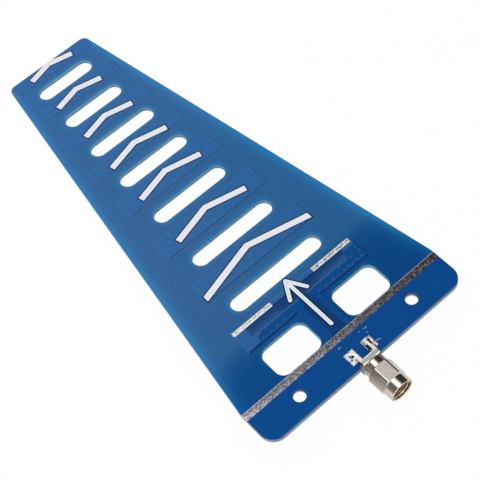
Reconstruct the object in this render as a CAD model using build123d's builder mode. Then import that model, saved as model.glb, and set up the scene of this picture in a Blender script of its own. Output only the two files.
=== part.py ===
from build123d import *
from math import cos, degrees, atan2, hypot, radians, sin, tan
import os

os.makedirs("parts", exist_ok=True)

# A printed directional antenna: a tapered circuit board with a row of director foils, a looped driven
# element, a tinned reflector bar and an edge-launch coaxial plug whose coupling nut turns freely.
# Sizes are in millimetres. The board lies flat with its printed face up (+Z), and +Y is the way the
# antenna points. The origin is midway between the two mounting holes, on the board's underside.

# Board
board_width = 75.0
tip_width = 32.0
board_length = 157.4
board_thickness = 1.6
taper_start = 13.65             # the sides run parallel from the rear edge to here
rear_corner_radius = 4.8
tip_corner_radius = 2.3
hole_spacing = 43.7
hole_inset = 6.0                # from the rear edge to the line of the mounting holes
hole_radius = 1.95
window_length = 16.4
window_depth = 11.0
window_offset = 13.65           # from the centre line to each window's centre
window_distance = 18.45         # from the rear edge to the windows' centres
window_radius = 3.1
slot_width = 5.8

# The row of slots and directors runs from the loop's front to the tip of the board. Each line here is
# one slot, from the rear: its centre as a share of that row, and its length as a share of the board's
# width.
slots = [
    (0.04994, 0.4600),
    (0.21153, 0.4080),
    (0.37799, 0.3693),
    (0.52659, 0.3480),
    (0.65895, 0.3320),
    (0.78644, 0.2973),
    (0.91393, 0.2813),
]

# Each line is one director, from the rear: its rear edge and its depth as shares of the row, its length
# as a share of the board's width, the chevron's point as a share of the row, and the chevron's half span
# as a share of the board's width.
directors = [
    (0.10434, 0.06253, 0.55467, 0.16646, 0.29333),
    (0.26431, 0.06577, 0.53067, 0.32603, 0.18667),
    (0.43078, 0.06415, 0.50267, 0.48762, 0.16667),
    (0.57531, 0.04385, 0.48400, 0.61713, 0.15467),
    (0.70280, 0.04385, 0.46133, 0.74503, 0.13333),
    (0.83516, 0.04304, 0.43200, 0.87495, 0.12400),
    (0.96021, 0.04872, 0.40800, 1.00325, 0.11733),
]

# Foils, tin and print
foil_thickness = 0.05           # copper with the mask that covers it
foil_inset = 0.3                # bare margin along the board's edge
hole_margin = 0.35              # bare ring round each mounting hole
ink_thickness = 0.03
bar_rear = 10.4                 # the tinned bar, from the rear edge
bar_depth = 2.45
bar_thickness = 0.15
chevron_stroke = 2.18
chevron_slope = 14.5            # degrees
arrow_tail = 15.75
arrow_point = 36.95
arrow_stroke = 1.4
arrow_head_depth = 5.9
arrow_head_reach = 3.35

# Driven element
loop_rear = 26.1
loop_front = 34.25
loop_length = 47.1
loop_window_rear = 29.2
loop_window_front = 32.6
loop_window_length = 37.4
feed_gap_left = 1.1
feed_gap_right = 1.85
left_line_inner = 2.05
left_line_outer = 4.8
right_line_inner = 2.8
right_line_outer = 4.7
tuning_inner = 8.15
tuning_outer = 22.95
tuning_thickness = 0.12

# Underside copper
feed_trace_width = 2.9
feed_trace_start = 1.9
feed_trace_end = 28.5
trace_margin = 1.2              # bare gap each side of the trace

# Plug body. Stations along the plug's axis are counted from the board's rear edge towards the mouth.
axis_height = 0.1
flange_side = 6.35
flange_front = 1.3              # how far the flange stands into the board's notch
flange_rear = 0.45
flange_bevel = 0.2
notch_side_gap = 0.45
notch_end_gap = 0.3
notch_radius = 0.5
leg_width = 1.0
leg_reach = 5.6
leg_gap = 0.1
lower_leg_thickness = 1.2
boss_radius = 2.8
ferrule_radius = 2.29
ferrule_start = 6.2
reference_plane = 8.8
ferrule_chamfer = 0.15
dielectric_radius = 2.06
contact_radius = 0.635
pin_radius = 0.455
pin_reach = 2.1
pin_point = 0.35
tail_reach = 5.0
tail_gap = 0.03

# Coupling nut
nut_gap = 0.2                   # from the flange to the nut's skirt
skirt_radius = 3.68
hex_across_flats = 8.0
hex_start = 3.0
hex_end = 9.2
hex_chamfer = 54.0              # degrees
hex_rear_radius = 3.74          # where the rear chamfer meets the hexagon's rear face
hex_edge_radius = 0.25
collar_radius = 3.98
nut_end = 12.2
edge_break = 0.25
running_gap = 0.06
thread_radius = 3.2             # root of the 1/4 inch coupling thread, so that a mating barrel goes in
thread_start = 6.9
undercut_radius = 3.3
mouth_radius = 3.4

# Retaining ring and gasket
ring_start = 1.9
ring_width = 0.7
ring_inner_radius = 2.35
ring_outer_radius = 3.05
ring_side_gap = 0.05
ring_split = 40.0               # degrees
gasket_width = 0.6
gasket_outer_radius = 3.1
gasket_seat_radius = 2.55       # a step on the body that keeps the gasket off the ferrule

# Solder
joint_height = 1.8
joint_rear = 1.9
joint_front = 6.3
joint_inner = 1.45
joint_outer = 4.95
joint_crown = 0.55              # how far each side leans in from foot to crown
lower_joint_height = 0.95
tab_joint_width = 2.3
tab_joint_height = 0.6

# Derived places
rear_edge = -hole_inset
board_top = board_thickness
row_length = board_length - loop_front
foil_top = board_top + foil_thickness
bar_front = bar_rear + bar_depth
flange_top = axis_height + flange_side / 2
leg_offset = flange_side / 2 - leg_width / 2
nut_start = flange_rear + nut_gap
plug_axis = Axis((0, rear_edge, axis_height), (0, -1, 0))
profile_plane = Plane(origin=(0, rear_edge, axis_height), x_dir=(0, -1, 0), z_dir=(-1, 0, 0))


def across(station):
    """Plane square to the plug's axis, facing the mouth."""
    origin = (0, rear_edge - station, axis_height)
    return Plane(origin=origin, x_dir=(1, 0, 0), z_dir=(0, -1, 0))


def keep(piece, name):
    piece.part.label = name
    export_step(piece.part, f"parts/{name}.step")


def from_rear(distance):
    return rear_edge + distance


def in_row(share):
    """Distance from the rear edge to a place in the row of directors."""
    return loop_front + share * row_length


def band(rear, front, length, mode=Mode.ADD):
    """Rectangle across the board between two distances from the rear edge."""
    with Locations((0, from_rear((rear + front) / 2))):
        Rectangle(length, front - rear, mode=mode)


def board_outline(inset):
    """The board's edge with its rear notch, drawn inwards by the inset."""
    with BuildSketch() as outline:
        with BuildLine():
            Polyline(
                (-board_width / 2, rear_edge),
                (board_width / 2, rear_edge),
                (board_width / 2, from_rear(taper_start)),
                (tip_width / 2, from_rear(board_length)),
                (-tip_width / 2, from_rear(board_length)),
                (-board_width / 2, from_rear(taper_start)),
                close=True,
            )
        make_face()
        fillet(outline.vertices().group_by(Axis.Y)[0], rear_corner_radius)
        fillet(outline.vertices().group_by(Axis.Y)[-1], tip_corner_radius)
        notch_width = flange_side + 2 * notch_side_gap
        notch_depth = flange_front + notch_end_gap
        with Locations((0, rear_edge)):
            Rectangle(notch_width, 2 * notch_depth, mode=Mode.SUBTRACT)
        inner = outline.vertices().filter_by_position(
            Axis.Y, from_rear(notch_depth / 2), from_rear(3 * notch_depth / 2)
        )
        fillet(inner, notch_radius)
        if inset > 0:
            offset(amount=-inset, kind=Kind.INTERSECTION, mode=Mode.REPLACE)
    return outline.sketch


def stroke(start, end, width):
    """Round-ended pen stroke between two points of the arrow."""
    run, rise = end[0] - start[0], end[1] - start[1]
    turn = degrees(atan2(rise, run))
    with Locations(((start[0] + end[0]) / 2, (start[1] + end[1]) / 2)):
        SlotCenterToCenter(hypot(run, rise), width, rotation=turn)


full_outline = board_outline(0)
foil_outline = board_outline(foil_inset)

# Circuit board
with BuildPart() as circuit_board:
    with BuildSketch() as plan:
        add(full_outline)
        with Locations((-hole_spacing / 2, 0), (hole_spacing / 2, 0)):
            Circle(hole_radius, mode=Mode.SUBTRACT)
        window_line = from_rear(window_distance)
        with Locations((-window_offset, window_line), (window_offset, window_line)):
            RectangleRounded(window_length, window_depth, window_radius, mode=Mode.SUBTRACT)
        for centre_share, length_share in slots:
            with Locations((0, from_rear(in_row(centre_share)))):
                SlotOverall(length_share * board_width, slot_width, mode=Mode.SUBTRACT)
    extrude(amount=board_thickness)
keep(circuit_board, "circuit_board")


def director_foil(level, rear, depth, length):
    """Foil strip across the board, kept off the board's edge."""
    with BuildPart() as foil:
        with BuildSketch(Plane.XY.offset(level)):
            band(rear, rear + depth, length)
            add(foil_outline, mode=Mode.INTERSECT)
        extrude(amount=foil_thickness)
    return foil


def chevron_outline(point, half_span):
    """Bent bar with square-cut ends that points along +Y."""
    slope = radians(chevron_slope)
    point_y = from_rear(point)
    end_y = point_y - half_span * tan(slope)
    cut_x = half_span - chevron_stroke * sin(slope)
    cut_y = end_y - chevron_stroke * cos(slope)
    with BuildSketch() as outline:
        with BuildLine():
            Polyline(
                (0, point_y),
                (half_span, end_y),
                (cut_x, cut_y),
                (0, point_y - chevron_stroke / cos(slope)),
                (-cut_x, cut_y),
                (-half_span, end_y),
                close=True,
            )
        make_face()
    return outline.sketch


# Director foils on both faces, each with its printed chevron
for number, shares in enumerate(directors, start=1):
    rear, point = in_row(shares[0]), in_row(shares[3])
    depth = shares[1] * row_length
    length, half_span = shares[2] * board_width, shares[4] * board_width
    front_foil = director_foil(board_top, rear, depth, length)
    keep(front_foil, f"director_{number}")
    back_foil = director_foil(-foil_thickness, rear, depth, length)
    keep(back_foil, f"back_director_{number}")
    with BuildPart() as chevron:
        with BuildSketch(Plane.XY.offset(board_top)):
            add(chevron_outline(point, half_span))
            add(full_outline, mode=Mode.INTERSECT)
            with Locations((0, from_rear(point))):
                Rectangle(length, board_length, mode=Mode.INTERSECT)
        extrude(amount=foil_thickness + ink_thickness)
        add(front_foil.part, mode=Mode.SUBTRACT)
    keep(chevron, f"chevron_{number}")

# Driven element: a flattened loop, open at the rear, with two feed lines back to the bar
with BuildPart() as driven_element:
    with BuildSketch(Plane.XY.offset(board_top)):
        band(loop_rear, loop_front, loop_length)
        band(loop_window_rear, loop_window_front, loop_window_length, mode=Mode.SUBTRACT)
        gap_depth = loop_window_rear - loop_rear
        with Locations(((feed_gap_right - feed_gap_left) / 2, from_rear(loop_rear + gap_depth / 2))):
            Rectangle(feed_gap_left + feed_gap_right, gap_depth, mode=Mode.SUBTRACT)
        line_length = loop_rear - bar_front
        line_middle = from_rear(bar_front + line_length / 2)
        with Locations((-(left_line_inner + left_line_outer) / 2, line_middle)):
            Rectangle(left_line_outer - left_line_inner, line_length)
        with Locations(((right_line_inner + right_line_outer) / 2, line_middle)):
            Rectangle(right_line_outer - right_line_inner, line_length)
    extrude(amount=foil_thickness)
keep(driven_element, "driven_element")

# Tinned tuning strips on the loop's front side
tuning_rear = loop_window_front
for name, side in (("tuning_strip_left", -1), ("tuning_strip_right", 1)):
    with BuildPart() as tuning_strip:
        with BuildSketch(Plane.XY.offset(foil_top)):
            middle = (tuning_inner + tuning_outer) / 2
            with Locations((side * middle, from_rear((tuning_rear + loop_front) / 2))):
                Rectangle(tuning_outer - tuning_inner, loop_front - tuning_rear)
        extrude(amount=tuning_thickness)
    keep(tuning_strip, name)

# Aim arrow, printed over board and foil alike
with BuildPart() as aim_arrow:
    with BuildSketch(Plane.XY.offset(board_top)):
        tip = (0, from_rear(arrow_point) - arrow_stroke / 2)
        stroke((0, from_rear(arrow_tail) + arrow_stroke / 2), tip, arrow_stroke)
        for side in (-1, 1):
            stroke(tip, (side * arrow_head_reach, tip[1] - arrow_head_depth), arrow_stroke)
    extrude(amount=foil_thickness + ink_thickness)
    add(driven_element.part, mode=Mode.SUBTRACT)
keep(aim_arrow, "aim_arrow")

# Ground foil behind the bar, and its twin on the underside with a lane for the feed trace
with BuildPart() as ground_foil:
    with BuildSketch(Plane.XY.offset(board_top)):
        add(foil_outline)
        band(0, bar_rear, board_width, mode=Mode.INTERSECT)
        with Locations((-hole_spacing / 2, 0), (hole_spacing / 2, 0)):
            Circle(hole_radius + hole_margin, mode=Mode.SUBTRACT)
    extrude(amount=foil_thickness)
keep(ground_foil, "ground_foil")

with BuildPart() as back_ground_foil:
    with BuildSketch(Plane.XY.offset(-foil_thickness)):
        add(foil_outline)
        band(0, bar_front, board_width, mode=Mode.INTERSECT)
        with Locations((-hole_spacing / 2, 0), (hole_spacing / 2, 0)):
            Circle(hole_radius + hole_margin, mode=Mode.SUBTRACT)
        band(-bar_front, 2 * bar_front, feed_trace_width + 2 * trace_margin, mode=Mode.SUBTRACT)
    extrude(amount=foil_thickness)
keep(back_ground_foil, "back_ground_foil")

# Tinned reflector bar, edge to edge
with BuildPart() as reflector_bar:
    with BuildSketch(Plane.XY.offset(board_top)):
        add(full_outline)
        band(bar_rear, bar_front, board_width, mode=Mode.INTERSECT)
    extrude(amount=bar_thickness)
keep(reflector_bar, "reflector_bar")

# Underside feed trace, from the contact's tab to the driven element
with BuildPart() as feed_trace:
    with BuildSketch(Plane.XY.offset(-foil_thickness)):
        band(feed_trace_start, feed_trace_end, feed_trace_width)
    extrude(amount=foil_thickness)
keep(feed_trace, "feed_trace")

# Plug body: square flange with four legs, then boss, ring groove and ferrule turned on one axis
with BuildPart() as plug_body:
    with BuildSketch(across(-flange_front)):
        Rectangle(flange_side, flange_side)
    extrude(amount=flange_front + flange_rear)
    chamfer(plug_body.edges().group_by(Axis.Y)[0], flange_bevel)
    leg_length = leg_reach - flange_front
    leg_middle = from_rear(flange_front + leg_length / 2)
    upper_height = flange_top - board_top - leg_gap
    for side in (-1, 1):
        with Locations((side * leg_offset, leg_middle, flange_top - upper_height / 2)):
            Box(leg_width, leg_length, upper_height)
        with Locations((side * leg_offset, leg_middle, -leg_gap - lower_leg_thickness / 2)):
            Box(leg_width, leg_length, lower_leg_thickness)
    with BuildSketch(profile_plane):
        with BuildLine():
            Polyline(
                (flange_rear, 0),
                (flange_rear, boss_radius),
                (ring_start, boss_radius),
                (ring_start, ring_inner_radius),
                (ring_start + ring_width + 2 * ring_side_gap, ring_inner_radius),
                (ring_start + ring_width + 2 * ring_side_gap, boss_radius),
                (ferrule_start - gasket_width, boss_radius),
                (ferrule_start - gasket_width, gasket_seat_radius),
                (ferrule_start, gasket_seat_radius),
                (ferrule_start, ferrule_radius),
                (reference_plane - ferrule_chamfer, ferrule_radius),
                (reference_plane, ferrule_radius - ferrule_chamfer),
                (reference_plane, 0),
                close=True,
            )
        make_face()
    revolve(axis=plug_axis)
    with BuildSketch(across(-flange_front)):
        Circle(dielectric_radius)
    extrude(amount=flange_front + reference_plane, mode=Mode.SUBTRACT)
keep(plug_body, "plug_body")

# Dielectric sleeve inside the body
with BuildPart() as dielectric:
    with BuildSketch(across(-flange_front)):
        Circle(dielectric_radius)
        Circle(contact_radius, mode=Mode.SUBTRACT)
    extrude(amount=flange_front + reference_plane)
keep(dielectric, "dielectric")

# Centre contact: a pin in the mouth, and a tail milled flat that lies under the board
with BuildPart() as centre_contact:
    with BuildSketch(profile_plane):
        with BuildLine():
            Polyline(
                (-tail_reach, 0),
                (-tail_reach, contact_radius),
                (reference_plane, contact_radius),
                (reference_plane, pin_radius),
                (reference_plane + pin_reach - pin_point, pin_radius),
                (reference_plane + pin_reach, pin_radius / 2),
                (reference_plane + pin_reach, 0),
                close=True,
            )
        make_face()
    revolve(axis=plug_axis)
    milled_length = tail_reach - flange_front
    milled_height = axis_height + contact_radius + foil_thickness + tail_gap
    milled_base = -foil_thickness - tail_gap
    with Locations((0, from_rear(flange_front + milled_length / 2), milled_base + milled_height / 2)):
        Box(2 * contact_radius, milled_length, milled_height, mode=Mode.SUBTRACT)
keep(centre_contact, "centre_contact")

# Retaining ring, split so that it springs into its groove
with BuildPart() as retaining_ring:
    with BuildSketch(across(ring_start + ring_side_gap)):
        Circle(ring_outer_radius)
        Circle(ring_inner_radius, mode=Mode.SUBTRACT)
        gap_reach = 2 * ring_outer_radius
        half_gap = gap_reach * tan(radians(ring_split / 2))
        with BuildLine():
            Polyline((0, 0), (half_gap, -gap_reach), (-half_gap, -gap_reach), close=True)
        make_face(mode=Mode.SUBTRACT)
    extrude(amount=ring_width)
keep(retaining_ring, "retaining_ring")

# Gasket at the ferrule's root
with BuildPart() as gasket:
    with BuildSketch(across(ferrule_start - gasket_width)):
        Circle(gasket_outer_radius)
        Circle(gasket_seat_radius, mode=Mode.SUBTRACT)
    extrude(amount=gasket_width)
keep(gasket, "gasket")

# Coupling nut: a hexagon between a round skirt and a round collar
with BuildPart() as coupling_nut:
    corner_radius = hex_across_flats / 2 / cos(radians(30))
    chamfer_slope = tan(radians(90 - hex_chamfer))
    rear_chamfer = (corner_radius - hex_rear_radius) * chamfer_slope
    front_chamfer = (corner_radius - collar_radius) * chamfer_slope
    with BuildSketch(across(hex_start)):
        RegularPolygon(hex_across_flats / 2, 6, major_radius=False)
        fillet(vertices(), hex_edge_radius)
    extrude(amount=hex_end - hex_start)
    with BuildSketch(profile_plane):
        with BuildLine():
            Polyline(
                (hex_start, 0),
                (hex_start, hex_rear_radius),
                (hex_start + rear_chamfer, corner_radius),
                (hex_end - front_chamfer, corner_radius),
                (hex_end, collar_radius),
                (hex_end, 0),
                close=True,
            )
        make_face()
    revolve(axis=plug_axis, mode=Mode.INTERSECT)
    with BuildSketch(profile_plane):
        with BuildLine():
            Polyline(
                (nut_start, 0),
                (nut_start, skirt_radius - edge_break),
                (nut_start + edge_break, skirt_radius),
                (hex_start, skirt_radius),
                (hex_start, 0),
                close=True,
            )
        make_face()
        with BuildLine():
            Polyline(
                (hex_end, 0),
                (hex_end, collar_radius),
                (nut_end - edge_break, collar_radius),
                (nut_end, collar_radius - edge_break),
                (nut_end, 0),
                close=True,
            )
        make_face()
    revolve(axis=plug_axis)
    bore_radius = boss_radius + running_gap
    groove_radius = ring_outer_radius + running_gap
    with BuildSketch(profile_plane):
        with BuildLine():
            Polyline(
                (nut_start, 0),
                (nut_start, bore_radius),
                (ring_start, bore_radius),
                (ring_start, groove_radius),
                (ring_start + ring_width + 2 * ring_side_gap, groove_radius),
                (ring_start + ring_width + 2 * ring_side_gap, bore_radius),
                (ferrule_start - gasket_width, bore_radius),
                (ferrule_start - gasket_width, undercut_radius),
                (thread_start, undercut_radius),
                (thread_start + undercut_radius - thread_radius, thread_radius),
                (nut_end - mouth_radius + thread_radius, thread_radius),
                (nut_end, mouth_radius),
                (nut_end, 0),
                close=True,
            )
        make_face()
    revolve(axis=plug_axis, mode=Mode.SUBTRACT)
keep(coupling_nut, "coupling_nut")


def leg_joint(side, foot, height, leg_low, leg_high):
    """Solder round one leg: broad at the foot on the board and narrower at the crown."""
    width = joint_outer - joint_inner
    depth = joint_front - joint_rear
    centre = (side * (joint_inner + joint_outer) / 2, from_rear((joint_rear + joint_front) / 2))
    with BuildPart() as joint:
        with BuildSketch(Plane.XY.offset(foot)):
            with Locations(centre):
                RectangleRounded(width, depth, joint_crown)
        with BuildSketch(Plane.XY.offset(foot + height)):
            with Locations(centre):
                RectangleRounded(width - 2 * joint_crown, depth - 2 * joint_crown, joint_crown / 2)
        loft()
        leg_length = leg_reach - flange_front
        leg_middle = from_rear(flange_front + leg_length / 2)
        with Locations((side * leg_offset, leg_middle, (leg_low + leg_high) / 2)):
            Box(leg_width, leg_length, leg_high - leg_low, mode=Mode.SUBTRACT)
    return joint


# Solder on the four legs and on the contact's tail
for name, side in (("left", -1), ("right", 1)):
    upper_joint = leg_joint(side, foil_top, joint_height, board_top + leg_gap, flange_top)
    keep(upper_joint, f"solder_top_{name}")
    lower_joint = leg_joint(
        side, -foil_thickness, -lower_joint_height, -leg_gap - lower_leg_thickness, -leg_gap
    )
    keep(lower_joint, f"solder_under_{name}")

with BuildPart() as tab_solder:
    tab_length = joint_front - joint_rear
    tab_centre = (0, from_rear((joint_rear + joint_front) / 2))
    with BuildSketch(Plane.XY.offset(-foil_thickness)):
        with Locations(tab_centre):
            RectangleRounded(tab_joint_width, tab_length, joint_crown)
    with BuildSketch(Plane.XY.offset(-foil_thickness - tab_joint_height)):
        with Locations(tab_centre):
            RectangleRounded(tab_joint_width - 2 * joint_crown, tab_length - 2 * joint_crown, joint_crown / 2)
    loft()
    add(centre_contact.part, mode=Mode.SUBTRACT)
keep(tab_solder, "solder_tab")
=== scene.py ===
import math
from contextlib import contextmanager

import bmesh
import bpy
from mathutils import Matrix, Vector, noise


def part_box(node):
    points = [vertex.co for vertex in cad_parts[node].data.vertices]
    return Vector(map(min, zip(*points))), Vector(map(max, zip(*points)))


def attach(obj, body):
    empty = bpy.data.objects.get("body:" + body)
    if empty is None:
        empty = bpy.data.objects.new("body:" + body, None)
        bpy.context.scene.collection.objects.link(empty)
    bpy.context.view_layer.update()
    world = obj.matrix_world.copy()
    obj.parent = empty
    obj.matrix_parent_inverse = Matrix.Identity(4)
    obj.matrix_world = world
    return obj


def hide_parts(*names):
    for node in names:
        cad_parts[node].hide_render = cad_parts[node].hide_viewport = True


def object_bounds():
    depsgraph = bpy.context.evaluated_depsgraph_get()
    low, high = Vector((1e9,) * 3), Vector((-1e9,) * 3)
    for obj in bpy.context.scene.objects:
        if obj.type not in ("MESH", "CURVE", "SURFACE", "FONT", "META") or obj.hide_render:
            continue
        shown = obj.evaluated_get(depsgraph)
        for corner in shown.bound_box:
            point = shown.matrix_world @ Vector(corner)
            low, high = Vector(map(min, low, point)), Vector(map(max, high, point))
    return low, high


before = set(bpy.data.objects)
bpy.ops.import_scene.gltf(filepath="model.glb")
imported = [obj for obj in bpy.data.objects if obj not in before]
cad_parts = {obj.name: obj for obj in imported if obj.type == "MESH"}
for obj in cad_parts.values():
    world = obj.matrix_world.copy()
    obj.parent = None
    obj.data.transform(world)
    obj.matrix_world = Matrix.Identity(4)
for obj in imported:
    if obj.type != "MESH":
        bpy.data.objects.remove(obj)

# A printed directional antenna with an edge-launch coaxial plug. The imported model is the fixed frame, in
# metres: printed face up (+Z), +Y the way the antenna points, origin midway between the mounting holes
# on the board's underside. Lengths in this file are in millimetres, and MM turns them into metres; only
# the floor's size, the lamp and the camera are given in metres.
MM = 0.001
cad_low, cad_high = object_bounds()

# The offsets of noise_vector, which shapes the solder, come from this seed. Without one they would
# differ from run to run.
SOLDER_SEED = 7
noise.seed_set(SOLDER_SEED)

# Board, foils and plug, as in the CAD source
BOARD_TOP = 1.6
REAR_EDGE = -6.0
BOARD_LENGTH = 157.4
HALF_REAR = 37.5
HALF_TIP = 16.0
TAPER_START = 13.65
HOLE_OFFSET = 21.85
FOIL = 0.05
FOIL_TOP = BOARD_TOP + FOIL
INK_TOP = FOIL_TOP + 0.03
AXIS_HEIGHT = 0.1
FLANGE_TOP = 3.275
DIRECTORS = [f"director_{number}" for number in range(1, 8)]
CHEVRONS = [f"chevron_{number}" for number in range(1, 8)]

# Each slot's centre from the rear edge and its length; then the two windows' centre and size
SLOTS = [
    (40.4, 34.5), (60.3, 30.6), (80.8, 27.7), (99.1, 26.1), (115.4, 24.9), (131.1, 22.3), (146.8, 21.1),
]
SLOT_RADIUS = 2.9
WINDOW_CENTRE = (13.65, 18.45)
WINDOW_SIZE = (16.4, 11.0)
WINDOW_RADIUS = 3.1

# The opening inside the driven element's loop: its rear and front from the rear edge, and half its length
LOOP_REAR, LOOP_FRONT, LOOP_HALF = 29.2, 32.6, 18.7

# Sloped shoulders: the mask's at the edge of the copper and of its dip, the ink's on chevrons and arrow
COPPER_SHOULDER, COPPER_DROP = 0.22, 0.9 * FOIL
DIP_SHOULDER, DIP_DROP, DIP_DEPTH = 0.3, 0.028, 0.018
CHEVRON_SHOULDER, ARROW_SHOULDER, INK_DROP = 0.15, 0.44, 0.7 * (INK_TOP - FOIL_TOP)
OUTLINE_WIDTH = 0.28

# Masked plated holes: distance from a director's edge, pitch along and across it, and radii
VIA_INSET, VIA_PITCH = 0.6, (2.6, 2.0)
DIRECTOR_VIA, LOOP_VIA = 0.26, 0.3

# The coupling nut: stations behind the board's rear edge, then radii
NUT_START, HEXAGON_START, HEXAGON_END, NUT_END = 0.65, 3.0, 9.2, 12.2
HALF_FLATS, REAR_CHAMFER, COLLAR, SKIRT = 4.0, 3.74, 3.98, 3.68
MOUTH_BORE, GROOVE, RING_GROOVE, NUT_BORE = 3.2, 3.3, 3.11, 2.86

# Vertices closer than this are one; a vertex this close to a level lies on it
MERGED, LEVEL = 0.002, 0.002

# Dark pits in the two top solder joints: place across, place along, and reach
SOLDER_PITS = [
    (-3.55, -2.35, 0.5), (-3.95, -1.95, 0.26), (-3.0, -3.0, 0.26), (-3.25, -0.45, 0.26),
    (-2.7, -1.05, 0.24), (-4.2, -1.15, 0.16), (-2.4, -3.2, 0.22), (-3.5, -3.5, 0.22),
    (3.4, -1.4, 0.42), (1.95, -1.2, 0.2), (1.85, -2.4, 0.22), (4.3, -2.6, 0.2), (1.9, -0.2, 0.16),
]


def from_rear(distance):
    """The y of a place that far ahead of the board's rear edge, in metres."""
    return (REAR_EDGE + distance) * MM


def box(name):
    """The two corners of a CAD node, in millimetres."""
    low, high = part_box(name)
    return low / MM, high / MM


def clamp(value, low=0.0, high=1.0):
    return min(high, max(low, value))


def paint(colour):
    """A 0 to 255 display colour, or a plain grey level, as the linear colour that a shader takes."""
    if not isinstance(colour, tuple):
        return colour, colour, colour, 1.0
    linear = []
    for part in colour:
        share = part / 255
        linear.append(share / 12.92 if share <= 0.04045 else ((share + 0.055) / 1.055) ** 2.4)
    return (*linear, 1.0)


strip_low, strip_high = box("tuning_strip_left")
STRIP_MIDDLE = (strip_low.y + strip_high.y) / 2
STRIP_HALF = (strip_high.y - strip_low.y) / 2


class Nodes:
    """Short ways to add shader nodes to a tree."""

    def __init__(self, tree):
        self.tree = tree

    def join(self, value, socket):
        """Link a node's output to a socket, or write a plain value there."""
        if isinstance(value, bpy.types.NodeSocket):
            self.tree.links.new(value, socket)
        else:
            socket.default_value = value

    def new(self, kind, inputs=None):
        """A node of that kind; each named input takes a node's output or a plain value."""
        node = self.tree.nodes.new(kind)
        for name, value in (inputs or {}).items():
            self.join(value, node.inputs[name])
        return node

    def maths(self, operation, first, second=0.0):
        node = self.new("ShaderNodeMath", {0: first, 1: second})
        node.operation = operation
        return node.outputs[0]

    def times(self, first, second):
        return self.maths("MULTIPLY", first, second)

    def plus(self, first, second):
        return self.maths("ADD", first, second)

    def minus(self, first, second):
        return self.maths("SUBTRACT", first, second)

    def size(self, value):
        return self.maths("ABSOLUTE", value)

    def distance(self, *sides):
        """The length of a line from its two sides at a right angle."""
        return self.maths("SQRT", self.plus(*(self.maths("POWER", side, 2.0) for side in sides)))

    def axes(self, vector):
        return self.new("ShaderNodeSeparateXYZ", {0: vector}).outputs

    def step(self, value, low, high):
        """0 below low, 1 above high, smooth between them."""
        node = self.new("ShaderNodeMapRange", {"Value": value, "From Min": low, "From Max": high})
        node.interpolation_type = "SMOOTHSTEP"
        return node.outputs["Result"]

    def ramp(self, value, stops):
        """Colours or plain levels along a value; each stop is (place, colour)."""
        node = self.new("ShaderNodeValToRGB", {"Fac": value})
        ends = node.color_ramp.elements
        while len(ends) < len(stops):
            ends.new(0.5)
        for end, (place, colour) in zip(ends, stops):
            end.position = place
            end.color = paint(colour)
        return node.outputs["Color"]

    def mix(self, share, first, second, blend="MIX"):
        node = self.tree.nodes.new("ShaderNodeMix")
        node.data_type = "RGBA"
        node.blend_type = blend
        self.join(share, node.inputs[0])
        for colour, socket in ((first, node.inputs[6]), (second, node.inputs[7])):
            self.join(colour if isinstance(colour, bpy.types.NodeSocket) else paint(colour), socket)
        return node.outputs[2]


class Finish(Nodes):
    """A new material, with its Object coordinates in metres and with tests on them in millimetres."""

    def __init__(self, name, metallic=0.0, roughness=0.5, specular=0.5):
        self.material = bpy.data.materials.new(name)
        self.material.use_nodes = True
        super().__init__(self.material.node_tree)
        self.shader = self.tree.nodes["Principled BSDF"]
        self.set(Metallic=metallic, Roughness=roughness, Specular_IOR_Level=specular)
        coordinates = self.new("ShaderNodeTexCoord").outputs
        self.place, self.facing = coordinates["Object"], coordinates["Normal"]
        self.x, self.y, self.z = self.axes(self.place)

    def fade(self, value, low, high):
        """A step between two lengths."""
        return self.step(value, low * MM, high * MM)

    def along(self, low, high):
        """A step between two distances from the rear edge."""
        return self.step(self.y, from_rear(low), from_rear(high))

    def over(self, value, limit):
        return self.maths("GREATER_THAN", value, limit * MM)

    def under(self, value, limit):
        return self.maths("LESS_THAN", value, limit * MM)

    def ahead_of(self, distance):
        return self.maths("GREATER_THAN", self.y, from_rear(distance))

    def behind(self, distance):
        return self.maths("LESS_THAN", self.y, from_rear(distance))

    def noise(self, scale, detail=3.0, rough=0.5, stretch=None):
        """Noise over the Object coordinates, which may be stretched first."""
        vector = self.place
        if stretch:
            vector = self.new("ShaderNodeMapping", {"Vector": vector, "Scale": stretch}).outputs["Vector"]
        return self.new("ShaderNodeTexNoise", {
            "Vector": vector, "Scale": scale, "Detail": detail, "Roughness": rough}).outputs["Fac"]

    def bump(self, height, distance, strength, under=None):
        node = self.new("ShaderNodeBump", {
            "Strength": strength, "Distance": distance * MM, "Height": height})
        if under is not None:
            self.join(under, node.inputs["Normal"])
        return node.outputs["Normal"]

    def set(self, **sockets):
        for name, value in sockets.items():
            self.join(value, self.shader.inputs[name.replace("_", " ")])
        return self.material


def mask_colour(finish, shift=(0, 0, 0)):
    """Blue solder mask: deep behind the bar, lighter from the driven element to the tip with a painted
    sheen, whose edge lies further ahead on the right.
    """
    slanted = finish.minus(finish.y, finish.times(finish.x, 0.12))
    along = finish.plus(finish.times(slanted, 1 / (BOARD_LENGTH * MM)), -REAR_EDGE / BOARD_LENGTH)
    stops = [
        (0.0, (2, 72, 134)), (0.09, (2, 71, 134)), (0.155, (4, 73, 135)), (0.19, (22, 83, 139)),
        (0.215, (48, 97, 149)), (0.40, (54, 101, 153)), (0.70, (55, 103, 155)), (1.0, (53, 104, 160)),
    ]
    colour = finish.ramp(along, [(place, tuple(max(0, c + s) for c, s in zip(colour, shift)))
                                 for place, colour in stops])
    # painted sheen: weaker and less red on the right
    return finish.mix(less_sheen_share(finish), colour, (214, 250, 253), "MULTIPLY")


def less_sheen_share(finish):
    """Where the mask is painted less red, with less painted sheen than on the left: on the right, fading
    out towards the tip.
    """
    return finish.times(finish.fade(finish.x, -12.0, 26.0), finish.along(130.0, 70.0))


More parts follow.
